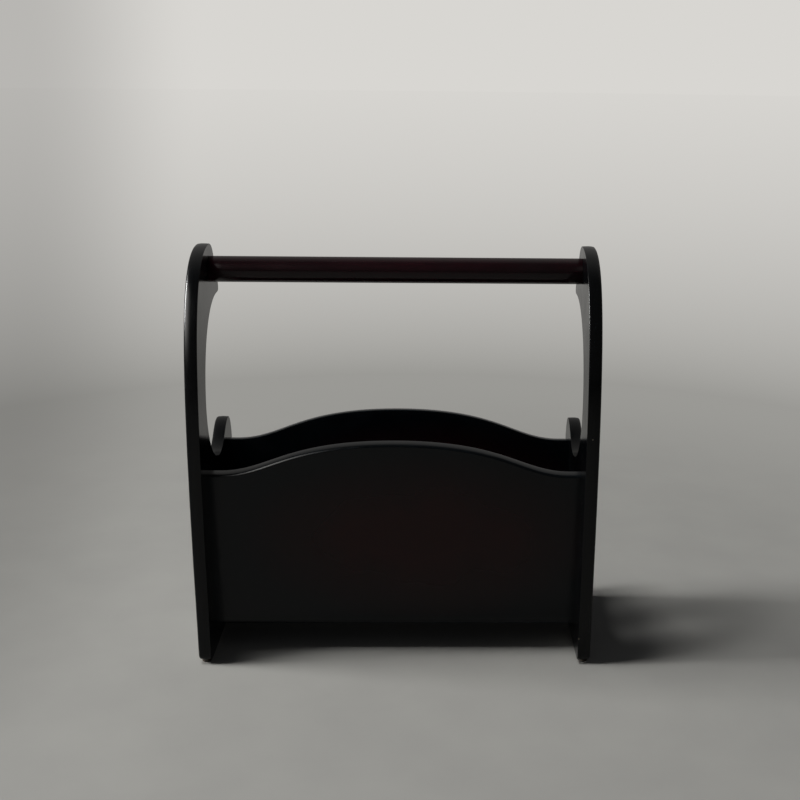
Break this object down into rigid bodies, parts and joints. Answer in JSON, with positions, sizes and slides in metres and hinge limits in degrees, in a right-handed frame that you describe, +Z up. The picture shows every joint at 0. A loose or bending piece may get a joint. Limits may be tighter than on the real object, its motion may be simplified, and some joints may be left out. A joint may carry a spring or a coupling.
{
  "type": "magazine basket",
  "caption": "Lacquered wooden magazine basket: two swan-neck end panels on glides carry a round handle rail, with leaning camel-back boards and a bottom board between them.",
  "frame": {"origin": "on the floor, under the middle of the rack: bottom centre of the bounding box", "axes": "+X to the right along the handle rail, +Y towards the back, +Z up; the front board faces -Y"},
  "size_m": [0.4, 0.183, 0.4188],
  "materials": {
    "lacquer_ends": "near-black lacquer over wood, semi-gloss",
    "lacquer_boards": "near-black lacquer over wood, semi-gloss, faint brown cast",
    "lacquer_rail": "dark reddish brown lacquer over turned wood, semi-gloss",
    "lacquer_bottom": "near-black lacquer, satin",
    "beech": "bare beech",
    "glide_plastic": "dark brown moulded plastic, matt",
    "nail_steel": "bright wire nail"
  },
  "bodies": {
    "root": {"left_end_panel": "lacquer_ends", "right_end_panel": "lacquer_ends", "front_panel": "lacquer_boards", "back_panel": "lacquer_boards", "bottom_panel": "lacquer_bottom", "handle_rail": "lacquer_rail", "front_left_dowel_1": "beech", "front_left_dowel_2": "beech", "front_left_dowel_3": "beech", "front_right_dowel_1": "beech", "front_right_dowel_2": "beech", "front_right_dowel_3": "beech", "back_left_dowel_1": "beech", "back_left_dowel_2": "beech", "back_left_dowel_3": "beech", "back_right_dowel_1": "beech", "back_right_dowel_2": "beech", "back_right_dowel_3": "beech", "front_left_glide": "glide_plastic", "back_left_glide": "glide_plastic", "front_right_glide": "glide_plastic", "back_right_glide": "glide_plastic", "front_left_glide_nail": "nail_steel", "back_left_glide_nail": "nail_steel", "front_right_glide_nail": "nail_steel", "back_right_glide_nail": "nail_steel"}
  },
  "joints": []
}
